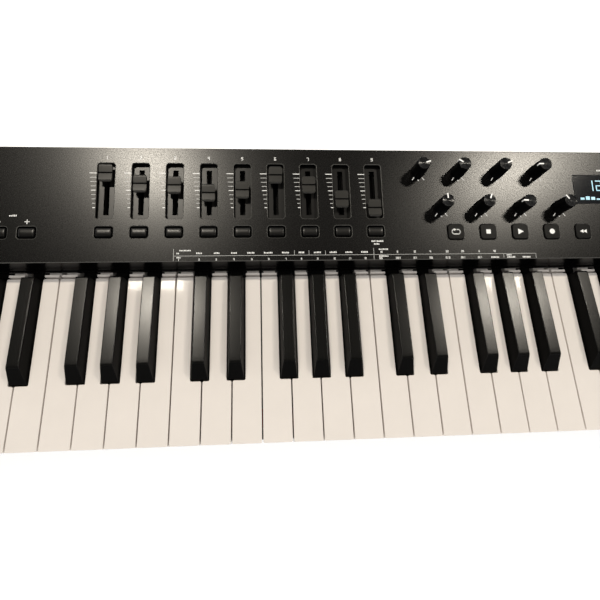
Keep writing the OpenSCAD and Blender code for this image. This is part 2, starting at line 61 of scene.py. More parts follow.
keys_lo, keys_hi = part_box("keys_c")
KEY_X = keys_lo.x - HALF_GAP * MM               # left edge of the lowest C
FRONT = keys_lo.y
TOP = keys_hi.z                                 # level of the white keys' tops
FIRST_C = KEY_X + OCTAVE * MM                   # left edge of the second C
SLOPE = math.asin(joints["fader_1_slide"]["axis"][2])
panel_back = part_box("top_panel")[1].y
PANEL = (Matrix.Translation((0, FRONT + SKIRT_Y * MM, TOP + PANEL_RISE * MM))
         @ Matrix.Rotation(SLOPE, 4, "X"))
PANEL_INV = PANEL.inverted()
PANEL_UP = PANEL.to_3x3() @ Vector((0, 0, 1))
FACE = PANEL @ Matrix.Translation((FIRST_C, 0, 0))   # its x runs from the second C's left edge
NOTES = ["c", "c_sharp", "d", "d_sharp", "e", "f", "f_sharp", "g", "g_sharp", "a", "a_sharp", "b"]
BLACK_MID = {"c_sharp": 21.8, "d_sharp": 50.1, "f_sharp": 92.0, "g_sharp": 118.1, "a_sharp": 144.7}


def height(point):
    """How far a point in metres stands over the panel's face."""
    return (PANEL_INV @ point).z


# ---------- materials ----------

RAMP_LOW, RAMP_HIGH = 0.3, 0.7
BLOTCH_SCALE = 38
BUMP_STRENGTH = 0.35
COAT_ROUGH = 0.12
PLASTIC_IOR = 1.5


def nodes_of(name):
    mat = bpy.data.materials.new(name)
    mat.use_nodes = True
    tree = mat.node_tree
    return mat, tree.nodes, tree.links, tree.nodes["Principled BSDF"]


def link_noise(nodes, links, scale, detail, rough=0.55, stretch=None):
    coord = nodes.new("ShaderNodeTexCoord")
    noise = nodes.new("ShaderNodeTexNoise")
    noise.inputs["Scale"].default_value = scale
    noise.inputs["Detail"].default_value = detail
    noise.inputs["Roughness"].default_value = rough
    if stretch:
        mapping = nodes.new("ShaderNodeMapping")
        mapping.inputs["Scale"].default_value = stretch
        links.new(coord.outputs["Object"], mapping.inputs["Vector"])
        links.new(mapping.outputs["Vector"], noise.inputs["Vector"])
    else:
        links.new(coord.outputs["Object"], noise.inputs["Vector"])
    return noise


def link_ramp(nodes, links, source, low, high):
    ramp = nodes.new("ShaderNodeValToRGB")
    ramp.color_ramp.elements[0].position = RAMP_LOW
    ramp.color_ramp.elements[1].position = RAMP_HIGH
    ramp.color_ramp.elements[0].color = low
    ramp.color_ramp.elements[1].color = high
    links.new(source, ramp.inputs["Fac"])
    return ramp.outputs["Color"]


def grey(v):
    return (v, v, v, 1)


def shade(color, k):
    return (color[0] * k, color[1] * k, color[2] * k, 1)


def surface(name, color, rough, vary, grain, depth, wear, stretch=None, metal=0.0, spec=0.5,
            coat=0.0, rough_vary=0.06):
    """A moulded, painted or metal surface with blotches, uneven gloss and a grain in bump.

    Grain and wear are noise scales, and depth is the grain's depth in mm."""
    mat, nodes, links, bsdf = nodes_of(name)
    bsdf.inputs["Metallic"].default_value = metal
    bsdf.inputs["Specular IOR Level"].default_value = spec
    bsdf.inputs["IOR"].default_value = PLASTIC_IOR
    bsdf.inputs["Coat Weight"].default_value = coat
    bsdf.inputs["Coat Roughness"].default_value = COAT_ROUGH
    blotch = link_noise(nodes, links, BLOTCH_SCALE, 5.0)
    tint = link_ramp(nodes, links, blotch.outputs["Fac"], shade(color, 1 - vary),
                     shade(color, 1 + vary))
    links.new(tint, bsdf.inputs["Base Color"])
    fine = link_noise(nodes, links, wear, 3.0, stretch=stretch)
    gloss = link_ramp(nodes, links, fine.outputs["Fac"], grey(max(rough - rough_vary, 0.02)),
                      grey(min(rough + rough_vary, 1)))
    links.new(gloss, bsdf.inputs["Roughness"])
    if grain:
        texture = link_noise(nodes, links, grain, 2.0, 0.6, stretch)
        bump = nodes.new("ShaderNodeBump")
        bump.inputs["Strength"].default_value = BUMP_STRENGTH
        bump.inputs["Distance"].default_value = depth * MM
        links.new(texture.outputs["Fac"], bump.inputs["Height"])
        links.new(bump.outputs["Normal"], bsdf.inputs["Normal"])
    return mat


M = {
    "panel": surface("panel_grained", (0.0018, 0.0017, 0.0016), 0.267, vary=0.1, grain=3000,
            depth=0.009, wear=850, spec=0.49, rough_vary=0.022),
    "well": surface("well_smooth", (0.0032, 0.0030, 0.0028), 0.33, vary=0.08, grain=3000,
            depth=0.004, wear=1200, spec=0.42, rough_vary=0.012),
    # Painted shade: the panel's front face under its edge, a darker and all but unreflecting copy
    # of the panel plastic
    "skirt": surface("skirt_painted_shade", (0.001, 0.001, 0.001), 0.2, vary=0.1, grain=900, depth=0.002,
            wear=3000, spec=0.04, rough_vary=0.03),
    "case": surface("case_moulded", (0.014, 0.014, 0.014), 0.42, vary=0.12, grain=2200,
            depth=0.02, wear=4000),
    "cheek": surface("cheek_moulded", (0.012, 0.012, 0.0122), 0.32, vary=0.1, grain=1800,
            depth=0.012, wear=4000),
    # Painted highlight: a much lighter copy of the panel plastic on the bevelled rims round the
    # panel's edges and openings, for the light those edges catch
    "rim": surface("panel_edge_painted_highlight", (0.060, 0.058, 0.053), 0.36, vary=0.15, grain=3000, depth=0.004,
            wear=1500),
    "white": surface("key_white", (0.745, 0.695, 0.652), 0.06, vary=0.018, grain=None, depth=0,
            wear=2200, rough_vary=0.012, spec=0.05),
    "black": surface("key_black", (0.0040, 0.0039, 0.0036), 0.236, vary=0.12, grain=3200,
            depth=0.009, wear=1400, rough_vary=0.03, spec=0.30),
    "fader": surface("fader_cap", (0.025, 0.0238, 0.0212), 0.37, vary=0.1, grain=4200,
            depth=0.006, wear=2600, spec=0.32),
    "button": surface("button_rubbery", (0.0040, 0.0037, 0.0033), 0.34, vary=0.12, grain=4200,
            depth=0.006, wear=2600, spec=0.55),
    "dark_button": surface("button_dark", (0.0018, 0.0018, 0.0017), 0.36, vary=0.1, grain=4200,
            depth=0.006, wear=2600, spec=0.12),
    # The knobs' own black; the same material also serves as painted shade on well walls, button
    # sides, fader grooves and black keys' fronts and sides
    "knob": surface("knob_side", (0.0008, 0.0008, 0.0008), 0.5, vary=0.1, grain=3000,
            depth=0.006, wear=5000, spec=0.06),
    "white_print": surface("print_white", (0.84, 0.84, 0.82), 0.5, vary=0.03, grain=3000,
            depth=0.002, wear=5000),
    "dim_print": surface("print_dim", (0.50, 0.50, 0.485), 0.5, vary=0.04, grain=3000,
            depth=0.002, wear=5000),
    "pointer": surface("pointer_white", (0.92, 0.92, 0.90), 0.35, vary=0.03, grain=3000,
            depth=0.002, wear=5000),
    "wheel": surface("wheel_soft", (0.024, 0.024, 0.025), 0.55, vary=0.1, grain=1500, depth=0.02,
            wear=3000),
    "pad": surface("pad_rubber", (0.045, 0.045, 0.048), 0.55, vary=0.08, grain=2600, depth=0.02,
            wear=4000),
    "foot": surface("foot_rubber", (0.02, 0.02, 0.02), 0.75, vary=0.15, grain=1600, depth=0.04,
            wear=3000),
    "steel": surface("steel_ground", (0.55, 0.55, 0.56), 0.3, vary=0.05, grain=2600, depth=0.004,
            wear=3000, stretch=(1, 12, 12), metal=1.0),
    "spring": surface("steel_sprung", (0.42, 0.44, 0.47), 0.34, vary=0.1, grain=2600,
            depth=0.004, wear=3000, stretch=(1, 8, 8), metal=1.0),
    "screw": surface("steel_black", (0.09, 0.09, 0.095), 0.38, vary=0.1, grain=1500, depth=0.006,
            wear=3000, metal=1.0),
    # Painted shade: the pots under the panel are made very dark and all but unreflecting, so the
    # slots over them read black
    "pot": surface("pot_painted_shade", (0.002, 0.002, 0.002), 0.5, vary=0.1, grain=1200, depth=0.008,
            wear=3000, spec=0.08),
    "chassis": surface("chassis_moulded", (0.11, 0.11, 0.115), 0.55, vary=0.12, grain=1200,
            depth=0.02, wear=3000),
    "felt": surface("felt_red", (0.30, 0.025, 0.025), 0.95, vary=0.3, grain=2400, depth=0.12,
            wear=2400),
    "board": surface("board_mask", (0.015, 0.11, 0.045), 0.3, vary=0.2, grain=500, depth=0.006,
            wear=1500),
    "domes": surface("domes_rubber", (0.05, 0.05, 0.056), 0.7, vary=0.1, grain=1600, depth=0.015,
            wear=3000),
    "switch": surface("switch_gloss", (0.016, 0.016, 0.016), 0.24, vary=0.1, grain=1500,
            depth=0.004, wear=3000),
    "socket": surface("socket_moulded", (0.014, 0.014, 0.014), 0.42, vary=0.1, grain=1500,
            depth=0.01, wear=3000),
    "contact": surface("contact_plated", (0.75, 0.60, 0.30), 0.25, vary=0.06, grain=1500,
            depth=0.003, wear=3000, metal=1.0),
    "lens": surface("lens_smoked", (0.006, 0.007, 0.009), 0.08, vary=0.05, grain=300,
            depth=0.001, wear=900, rough_vary=0.02, coat=0.6),
}


def knob_top_material():
    """Dark, slightly glossy face for the fine turned rings."""
    mat, nodes, links, bsdf = nodes_of("knob_turned")
    blotch = link_noise(nodes, links, 900, 3.0)
    tint = link_ramp(nodes, links, blotch.outputs["Fac"], grey(0.003), grey(0.010))
    links.new(tint, bsdf.inputs["Base Color"])
    bsdf.inputs["Specular IOR Level"].default_value = 0.5
    fine = link_noise(nodes, links, 2600, 2.0)
    gloss = link_ramp(nodes, links, fine.outputs["Fac"], grey(0.22), grey(0.30))
    links.new(gloss, bsdf.inputs["Roughness"])
    return mat


def screen_material():
    """Pale blue segments behind the lens, uneven as a back light is."""
    mat, nodes, links, bsdf = nodes_of("screen_marks")
    glow = link_noise(nodes, links, 90, 2.0)
    tint = link_ramp(nodes, links, glow.outputs["Fac"], (0.30, 0.52, 0.62, 1),
                     (0.45, 0.70, 0.80, 1))
    links.new(tint, bsdf.inputs["Base Color"])
    links.new(tint, bsdf.inputs["Emission Color"])
    bsdf.inputs["Emission Strength"].default_value = 0.5
    bsdf.inputs["Roughness"].default_value = 0.5
    return mat


M["knob_top"] = knob_top_material()
M["screen"] = screen_material()

# ---------- mesh helpers ----------

MERGE = 2e-6                                    # corners closer than this, in metres, are one
FLAT_DEGREES = 0.6


def finish_mesh(name, bm, mats, body, replaces=(), origin=None, smooth_angle=35.0, flat=None):
    """Turns a bmesh in the shared frame's metres into a piece that rides on its body."""
    mesh = bpy.data.meshes.new(name)
    if origin is not None:
        bmesh.ops.transform(bm, matrix=origin.inverted(), verts=bm.verts)
    bm.normal_update()
    bm.to_mesh(mesh)
    bm.free()
    mesh.shade_smooth()
    mesh.set_sharp_from_angle(angle=math.radians(smooth_angle))
    if flat:
        for polygon in mesh.polygons:
            if flat(polygon.normal):
                polygon.use_smooth = False
    piece = bpy.data.objects.new(name, mesh)
    scene.collection.objects.link(piece)
    if origin is not None:
        piece.matrix_world = origin
    for m in mats:
        mesh.materials.append(M[m])
    weighted = piece.modifiers.new("even_normals", "WEIGHTED_NORMAL")
    weighted.keep_sharp = True
    weighted.weight = 60
    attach(piece, body)
    if replaces:
        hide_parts(*replaces)
    return piece


def cad_copy(node):
    """The CAD node's shape with shared corners, free of the lines between its flat triangles."""
    bm = bmesh.new()
    bm.from_mesh(frame["nodes"][node].data)
    bmesh.ops.remove_doubles(bm, verts=bm.verts, dist=MERGE)
    bmesh.ops.dissolve_limit(bm, angle_limit=math.radians(FLAT_DEGREES), verts=bm.verts,
                             edges=bm.edges)
    return bm


def sharp(edge, degrees=28):
    return len(edge.link_faces) == 2 and edge.calc_face_angle(0) > math.radians(degrees)


def bevel(bm, edges, width, segments, **extra):
    """Rounds edges off, by a width in mm."""
    bmesh.ops.bevel(bm, geom=edges, offset=width * MM, segments=segments, profile=0.5,
                    affect="EDGES", **extra)


def soften(node, mat, body, width, segments, choose=None, under=None):
    """A piece that stands for the node, with its moulded edges rounded.

    Where a second material is given, what lies under the panel's face has it."""
    bm = cad_copy(node)
    edges = [e for e in bm.edges if sharp(e) and (choose is None or choose(e))]
    if edges:
        bevel(bm, edges, width, segments, clamp_overlap=True, miter_outer="ARC")
    mats = [mat]
    if under:
        mats.append(under)
        for f in bm.faces:
            f.material_index = 1 if height(f.calc_center_median()) < -0.8 * MM else 0
    return finish_mesh(node + "_piece", bm, mats, body, (node,))


def prism(bm, outline, h0, h1, matrix, mat_index=0):
    """An upright prism over an outline of (x, y) in mm, in the frame of the matrix."""
    low = [bm.verts.new(matrix @ Vector((x * MM, y * MM, h0 * MM))) for x, y in outline]
    high = [bm.verts.new(matrix @ Vector((x * MM, y * MM, h1 * MM))) for x, y in outline]
    n = len(outline)
    faces = [bm.faces.new(high), bm.faces.new(low[::-1])]
    for i in range(n):
        j = (i + 1) % n
        faces.append(bm.faces.new((low[i], low[j], high[j], high[i])))
    for f in faces:
        f.material_index = mat_index


def rounded(w, l, r, steps=5, cx=0.0, cy=0.0):
    """The outline of a rectangle with round corners."""
    points = []
    for k, (sx, sy) in enumerate(((1, 1), (-1, 1), (-1, -1), (1, -1))):
        for i in range(steps + 1):
            a = math.radians(90 * k + 90 * i / steps)
            points.append((cx + sx * (w / 2 - r) + r * math.cos(a),
                           cy + sy * (l / 2 - r) + r * math.sin(a)))
    return points


def bar(x0, y0, x1, y1, w):
    """The outline of a straight stroke with square ends."""
    dx, dy = x1 - x0, y1 - y0
    n = math.hypot(dx, dy) or 1
    ux, uy = dx / n * w / 2, dy / n * w / 2
    return [(x0 - ux + uy, y0 - uy - ux), (x1 + ux + uy, y1 + uy - ux),
            (x1 + ux - uy, y1 + uy + ux), (x0 - ux - uy, y0 - uy + ux)]


def circle(cx, cy, r, n=20):
    turns = [2 * math.pi * i / n for i in range(n)]
    return [(cx + r * math.cos(a), cy + r * math.sin(a)) for a in turns]


def box(x0, y0, x1, y1):
    """The outline of a rectangle, anticlockwise from its lower left corner."""
    return [(x0, y0), (x1, y0), (x1, y1), (x0, y1)]


def closed(points):
    """Each point with the next one, and the last with the first."""
    return zip(points, points[1:] + points[:1])


# ---------- keys ----------

HIDDEN_Y = 135.3                                # from here on the keys run under the panel
KEY_DEPTH = 18.5
CORNER_ROUND, RIM_ROUND = 1.1, 0.75
BLACK_HALF = 6.65                               # half a black key's width at the white keys' level
BLACK_LEAN = 2.05 / 12.0                        # how far its sides lean in for each mm of height
BLACK_FOOT = -14.0
TAIL_W, TAIL_FROM, TAIL_TO = 9, 132.2, 208.6    # the lever behind a black key
PIVOT_Y, PIVOT_Z = 212, -11.5
BOSS_R, BOSS_BORE, BOSS_SIDES = 4.5, 2.55, 32
# a black key's outlines from the toe, up the slope, along the top and over the rear end:
# distance from the white keys' fronts, height, edge round
STATIONS = [
    (48.85, -0.9, 0.3), (48.85, 0.0, 0.5), (49.1, 0.75, 0.6), (49.6, 1.3, 0.6), (52.0, 3.7, 0.6),
    (59.3, 11.0, 0.65), (59.8, 11.43, 0.65), (60.4, 11.76, 0.65), (61.1, 11.93, 0.65),
    (62.0, 11.98, 0.65), (66.0, 11.88, 0.65), (98.0, 10.95, 0.65), (131.6, 9.94, 0.65),
    (132.4, 9.75, 0.65), (133.0, 9.3, 0.65), (133.15, 8.7, 0.65),
]


def top_edge(e):
    """An edge of a key that shows: round its top, and down its corners."""
    shows = all(v.co.z > TOP - KEY_DEPTH * MM and v.co.y < FRONT + HIDDEN_Y * MM for v in e.verts)
    return shows and any(v.co.z > TOP - 0.2 * MM for v in e.verts)


def white_keys(note):
    node = "keys_" + note
    bm = cad_copy(node)
    corners = [e for e in bm.edges if sharp(e, 60) and top_edge(e)
               and abs(e.verts[0].co.z - e.verts[1].co.z) > 5 * MM]
    bevel(bm, corners, CORNER_ROUND, 4, clamp_overlap=True)
    rim = [e for e in bm.edges if sharp(e, 60) and all(
        abs(v.co.z - TOP) < 0.05 * MM and v.co.y < FRONT + HIDDEN_Y * MM for v in e.verts)]
    bevel(bm, rim, RIM_ROUND, 4, clamp_overlap=True)
    return finish_mesh("white_" + note, bm, ["white"], node, (node,))


def loft(bm, rings):
    """Skins a row of rings that all have the same number of points, and closes both ends."""
    loops = [[bm.verts.new(p) for p in ring] for ring in rings]
    for a, b in zip(loops, loops[1:]):
        n = len(a)
        for k in range(n):
            bm.faces.new((a[k], a[(k + 1) % n], b[(k + 1) % n], b[k]))
    bm.faces.new(loops[0])
    bm.faces.new(loops[-1][::-1])


def black_section(high, round_r):
    """Half a black key's outline across its length, up one side and over to the middle."""
    half = BLACK_HALF - BLACK_LEAN * max(high, 0)
    points = [(-BLACK_HALF, BLACK_FOOT), (-BLACK_HALF, 0.0 if high > 0 else high - 0.4)]
    steps = 5
    for k in range(steps + 1):
        a = math.radians(90 * k / steps)
        points.append((
            -half + round_r * (1 - math.cos(a)) - BLACK_LEAN * round_r * (1 - math.sin(a)),
            high - round_r + round_r * math.sin(a)))
    return points


def tail(bm, mid):
    """The lever that runs back from a key to the boss on the pivot rod."""
    frame_at = Matrix.Translation((KEY_X + mid * MM, FRONT, TOP))
    half = TAIL_W / 2
    prism(bm, box(-half, TAIL_FROM, half, TAIL_TO), -16, -7, frame_at)
    prism(bm, box(-2, 148, 2, 152), -19.8, -15.9, frame_at)
    place = (KEY_X + mid * MM, FRONT + PIVOT_Y * MM, TOP + PIVOT_Z * MM)
    across = Matrix.Translation(place) @ Matrix.Rotation(math.radians(90), 4, "Y")
    outer, inner = circle(0, 0, BOSS_R, BOSS_SIDES), circle(0, 0, BOSS_BORE, BOSS_SIDES)
    loops = []
    for ring, z in ((outer, -half), (outer, half), (inner, half), (inner, -half)):
        loops.append([bm.verts.new(across @ Vector((x * MM, y * MM, z * MM))) for x, y in ring])
    for a, b in closed(loops):
        for k in range(BOSS_SIDES):
            j = (k + 1) % BOSS_SIDES
            bm.faces.new((a[k], a[j], b[j], b[k]))


def black_keys(note):
    node = "keys_" + note
    bm = bmesh.new()
    for octave in range(OCTAVES):
        mid = BLACK_MID[note] + OCTAVE * octave
        rings = []
        for y, high, r in STATIONS:
            side = black_section(high, r)
            ring = side + [(-x, z) for x, z in side[::-1]]
            rings.append([Vector((KEY_X + (mid + x) * MM, FRONT + y * MM, TOP + z * MM))
                          for x, z in ring])
        loft(bm, rings)
        tail(bm, mid)
    bmesh.ops.recalc_face_normals(bm, faces=bm.faces)
    for f in bm.faces:
        # painted shade: the front slope and upright sides take the darkest, barely reflecting
        # material instead of the key's own
        f.material_index = 1 if abs(f.normal.x) > 0.9 or f.normal.y < -0.5 else 0
    return finish_mesh("black_" + note, bm, ["black", "knob"], node, (node,),
                       smooth_angle=38)


for note in NOTES:
    if "sharp" in note:
        black_keys(note)
    else:
        white_keys(note)

# ---------- case and panel ----------

# the "rim" entry is a painted highlight on the bevelled rims
PANEL_MATS = ["panel", "skirt", "well", "knob", "rim"]
SKIRT, WELL_FLOOR, SHADED_WELL_WALL, RIM_HIGHLIGHT = 1, 2, 3, 4  # their places in PANEL_MATS
WELL_DEPTH = 4


def on_face(e, h=0.0):
    """True for an edge that lies h mm over the panel's face."""
    return all(abs(height(v.co) - h * MM) < 0.03 * MM for v in e.verts)


def panel_part(f):
    """The place in PANEL_MATS of the material that a face of the panel has."""
    c = f.calc_center_median()
    h = height(c) / MM
    below = c.y < FRONT + (SKIRT_Y + 0.2) * MM and c.z < TOP + (PANEL_RISE - 0.4) * MM
    # painted shade: the front face under the panel's edge takes the dark, unreflecting skirt
    # material
    if below and f.normal.y < -0.5:
        return SKIRT
    if abs(h + WELL_DEPTH) < 0.5 and f.normal.z > 0.9:
        return WELL_FLOOR
    # painted shade: the walls of the wells and slots take the darkest, barely reflecting material
    if -12 < h < -0.5 and abs(f.normal.z) < 0.5 and c.y < panel_back - 8 * MM:
        return SHADED_WELL_WALL
    # painted highlight: the bevelled rims take the light rim material
    if -0.6 < h < 0.05 and 0.1 < f.normal.dot(PANEL_UP) < 0.99:
        return RIM_HIGHLIGHT
    return 0


def level_or_square(normal):
    """True for a face in the panel's plane, or square to one of the frame's axes."""
    return abs(normal.dot(PANEL_UP)) > 0.9999 or max(map(abs, normal)) > 0.9999


def top_panel():
    bm = cad_copy("top_panel")
    for v in bm.verts:
        if v.co.y > panel_back - 0.001 * MM:
            v.co.y -= 0.02 * MM                 # room for the print on the rear wall
    rims = [e for e in bm.edges if sharp(e, 40) and on_face(e)]
    bevel(bm, rims, 0.5, 3, clamp_overlap=False)
    for f in bm.faces:
        f.material_index = panel_part(f)
    return finish_mesh("panel_moulding", bm, PANEL_MATS, "case", ("top_panel",),
                       smooth_angle=50, flat=level_or_square)


def deck_edge(e):
    upright = abs(e.verts[0].co.z - e.verts[1].co.z) > 30 * MM
    return upright or all(v.co.z > TOP + 9.5 * MM for v in e.verts)


def long_low_edge(e):
    low = all(v.co.z < TOP - 20 * MM for v in e.verts)
    return low and (e.verts[0].co - e.verts[1].co).length > 100 * MM


top_panel()
soften("left_cheek", "cheek", "case", 1.2, 4)
soften("right_cheek", "cheek", "case", 1.2, 4)
soften("wheel_deck", "panel", "case", 0.8, 3, deck_edge)
soften("base_tray", "case", "case", 0.8, 3, long_low_edge)
soften("rubber_feet", "foot", "case", 0.8, 3)
soften("display_lens", "lens", "case", 0.25, 2)
for name in ("pitch_wheel", "mod_wheel"):
    soften(name, "wheel", name, 0.7, 4)
soften("power_switch", "switch", "power_switch", 0.3, 3)
soften("pads", "pad", "pads", 0.6, 3, lambda e: on_face(e, 2.0))

# nodes that keep their CAD shape
KEEP = {
    "key_chassis": "chassis", "key_pivot_rod": "steel", "key_felts": "felt",
    "key_springs": "spring", "contact_board": "board", "contact_strips": "domes",
    "control_board": "board", "fader_pots": "pot", "rotary_pots": "pot",
    "button_switches": "switch", "display_module": "socket", "pad_board": "board",
    "wheel_bracket": "chassis", "rear_sockets": "socket", "case_screws": "screw",
}
for node, mat in KEEP.items():
    for slot in frame["nodes"][node].material_slots:
        slot.material = M[mat]

# ---------- buttons ----------

BUTTON_S = 24.55                                # the row of buttons, up the panel from its front
BUTTON_W, BUTTON_L, BUTTON_R = 13.1, 8.8, 1.9
CROWN_R, CROWN_H = 10.5, 0.65                   # the curve over the cap, and how high it stands
CAP_FOOT, FLANGE_FOOT, STEM_FOOT = -3.65, -4.7, -9.1
OVERLAP = 0.1                                   # parts of one cap run into each other by this
# from the cap's foot over its rounded edge to the middle: distance in from the side, and drop
ROUNDING = ((0, None), (0, 1.3), (0.1, 0.85), (0.35, 0.5), (0.75, 0.22), (1.3, 0.05), (2.0, 0.0),
            (2.8, 0.0), (3.6, 0.0), (4.2, 0.0))
FADER_X = [-53.4 + 27.5 * i for i in range(9)]
OCTAVE_X = [-134, -112]


def shell_top(e):
    """True for an edge that shows over the panel."""
    return all(height(v.co) > -0.5 * MM for v in e.verts)


def dense(outline, corner=6, extra=6):
    """The outline with more points along its four sides."""
    points = []
    for k, (a, b) in enumerate(closed(outline)):
        points.append(a)
        if k % corner == corner - 1:
            for n in range(1, extra + 1):
                t = n / (extra + 1)
                points.append((a[0] + (b[0] - a[0]) * t, a[1] + (b[1] - a[1]) * t))
    return points


def crowned_buttons(node, places):
    """Caps that are curved from front to rear and rounded all round, on a flange and a stem."""
    bm = bmesh.new()
    for x in places:
        frame_at = PANEL @ Matrix.Translation((FIRST_C + x * MM, BUTTON_S * MM, 0))
        rings = []
        for inset, drop in ROUNDING:
            outline = rounded(BUTTON_W - 2 * inset, BUTTON_L - 2 * inset,
                              max(BUTTON_R - inset, 0.08))
            ring = []
            for px, ps in dense(outline):
                h = CAP_FOOT
                if drop is not None:
                    h = CROWN_H - CROWN_R + math.sqrt(CROWN_R ** 2 - ps ** 2) - drop
                ring.append(frame_at @ Vector((px * MM, ps * MM, h * MM)))
            rings.append(ring)
        loft(bm, rings)
        prism(bm, rounded(15.1, 10.8, 2.7), FLANGE_FOOT, -3.6, frame_at)
        prism(bm, circle(0, 0, 2.0, 24), STEM_FOOT, FLANGE_FOOT + OVERLAP, frame_at)
    bmesh.ops.recalc_face_normals(bm, faces=bm.faces)
    for f in bm.faces:
        # painted shade: each cap's rounded sides, flange and stem take the darkest, barely
        # reflecting material, so the gap round it reads black
        side = f.normal.dot(PANEL_UP) < 0.86 or height(f.calc_center_median()) < -2 * MM
        f.material_index = 1 if side else 0
    return finish_mesh(node + "_piece", bm, ["button", "knob"], node, (node,),
                       smooth_angle=40)


crowned_buttons("fader_buttons", FADER_X)
crowned_buttons("octave_buttons", OCTAVE_X)
# painted shade: what lies under the panel's face takes the darkest material
for name, width in (("transport_buttons", 0.6), ("menu_buttons", 0.5)):
    soften(name, "dark_button", name, width, 4, shell_top, under="knob")

# ---------- faders ----------

MID_S = 59.6                                    # the middle of the faders' travel
EDGE_R = 0.3
# the cap's outlines from its front end to its rear end: distance along, height, half width
CAP = [
    (-7.45, 1.0, 3.6), (-7.35, 1.5, 4.1), (-7.0, 1.9, 4.7), (-6.4, 2.12, 5.15), (-5.4, 2.16, 5.38),
    (-0.75, 1.66, 5.4), (-0.62, 1.5, 5.4), (-0.58, 0.82, 5.4), (0.58, 0.82, 5.4), (0.62, 1.5, 5.4),
    (0.75, 1.66, 5.4), (5.4, 2.16, 5.38), (6.5, 2.12, 5.15), (7.1, 1.9, 4.7), (7.45, 1.5, 4.1),
    (7.55, 1.0, 3.6),
]


def fader_rest(i):
    """Where the photo has the cap, from the ends that its joint gives."""
    low, high = joints["fader_%d_slide" % (i + 1)]["range_m"]
    return MID_S - (low + high) / 2 / MM


def fader_cap(i):
    """A thin cap with a groove across its middle, on a narrow stem over the pot's lever."""
    frame_at = PANEL @ Matrix.Translation((FIRST_C + FADER_X[i] * MM, fader_rest(i) * MM, 0))
    bm = bmesh.new()
    rings = []
    for s, h, half in CAP:
        r = EDGE_R
        ring = [(-half, 0.5), (-half, h - r), (-half + r * 0.3, h - r * 0.3), (-half + r, h)]
        ring += [(half - r, h), (half - r * 0.3, h - r * 0.3), (half, h - r), (half, 0.5)]
        rings.append([frame_at @ Vector((x * MM, s * MM, z * MM)) for x, z in ring])
    loft(bm, rings)
    inverse = frame_at.inverted()
    for f in bm.faces:
        middle = inverse @ f.calc_center_median()
        # painted shade: the groove across the cap and the cap's underside take the darkest material
        f.material_index = 1 if abs(middle.y) < 0.63 * MM or middle.z < 0.55 * MM else 0
    prism(bm, rounded(7.4, 10.2, 1.2, 4), -3.2, 0.6, frame_at, 1)
    prism(bm, box(-0.9, -2.5, 0.9, 2.5), -11.4, -3.1, frame_at, 1)
    bmesh.ops.recalc_face_normals(bm, faces=bm.faces)
    name = "fader_%d" % (i + 1)
    return finish_mesh(name + "_cap", bm, ["fader", "knob"], name, (name,),
                       smooth_angle=32)


for i in range(9):
    fader_cap(i)

# ---------- knobs ----------

SIDES = 96                                      # round a knob
RING_STEP = 0.2
STEM_R, STEM_END = 2.95, -12.5                  # the stem, down to the pot under the panel
KNOB_TOP, ENCODER_TOP = (4.95, 16.9), (7.2, 12.5)    # radius and height of the rim of the top
KNOB_SIDE = [(0, 0.85), (5.7, 0.85), (6.0, 1.1), (6.05, 2.1), (5.9, 2.5), (5.86, 2.8), (5.5, 15.7),
             (5.42, 16.25), (5.22, 16.7), KNOB_TOP]
ENCODER_SIDE = [(0, 0.85), (8.3, 0.85), (8.6, 1.1), (8.6, 1.6), (8.55, 1.9), (8.5, 11.6),
                (8.2, 12.1), (7.6, 12.4), ENCODER_TOP]


def revolve(bm, profile, matrix, wave=None):
    """Spins (r, h) pairs in mm round the matrix's z axis. Wave changes r by step and height."""
    rings = []
    for r, h in profile:
        if r < 1e-6:
            rings.append([bm.verts.new(matrix @ Vector((0, 0, h * MM)))])
            continue
        ring = []
        for k in range(SIDES):
            a = 2 * math.pi * k / SIDES
            rr = r + (wave(k, h) if wave else 0)
            point = Vector((rr * math.cos(a) * MM, rr * math.sin(a) * MM, h * MM))
            ring.append(bm.verts.new(matrix @ point))
        rings.append(ring)
    made = []
    for a, b in zip(rings, rings[1:]):
        for k in range(SIDES):
            j = (k + 1) % SIDES
            if len(a) == 1:
                made.append(bm.faces.new((a[0], b[k], b[j])))
            elif len(b) == 1:
                made.append(bm.faces.new((a[k], a[j], b[0])))
            else:
                made.append(bm.faces.new((a[k], a[j], b[j], b[k])))
    return made


def turned_rings(r, h):
    """A face cut with fine rings, from its rim at r to the middle."""
    points = [(r, h), (r - 0.2, h - 0.14)]
    for k in range(int((r - 0.5) / RING_STEP)):
        points.append((r - 0.3 - RING_STEP * k, h - (0.28 if k % 2 else 0.20)))
    return points + [(0, h - 0.24)]


def knob_grip(k, h):
    return -0.14 if (k % 4 == 0 and 2.6 < h < 15.9) else 0.0


def encoder_grip(k, h):
    return -0.45 if (k % 4 in (0, 1) and 1.6 < h < 12.0) else 0.0


def turned(side, rim, grip, stand):
    """A knob's body and its ringed top."""
    bm = bmesh.new()
    revolve(bm, side, stand, grip)
    for f in revolve(bm, turned_rings(*rim), stand):
        f.material_index = 1
    bmesh.ops.remove_doubles(bm, verts=bm.verts, dist=1e-6)
    return bm


def knob(i):
    name = "knob_%d" % (i + 1)
    j = joints[name + "_turn"]
    turn = -(j["range_deg"][0] + j["range_deg"][1]) / 2
    origin = Matrix.Translation(j["pos_m"])
    stand = origin @ PANEL.to_3x3().to_4x4() @ Matrix.Rotation(math.radians(turn), 4, "Z")
    bm = turned(KNOB_SIDE, KNOB_TOP, knob_grip, stand)
    prism(bm, box(-0.5, 1.9, 0.5, 5.5), 16.4, 17.05, stand, 2)
    prism(bm, box(-0.5, 5.2, 0.5, 6.0), 13.6, 17.0, stand, 2)
    prism(bm, circle(0, 0, STEM_R, 24), STEM_END, 1.0, stand, 0)
    bmesh.ops.recalc_face_normals(bm, faces=bm.faces)
    return finish_mesh(name + "_turned", bm, ["knob", "knob_top", "pointer"], name,
                       (name,), origin)


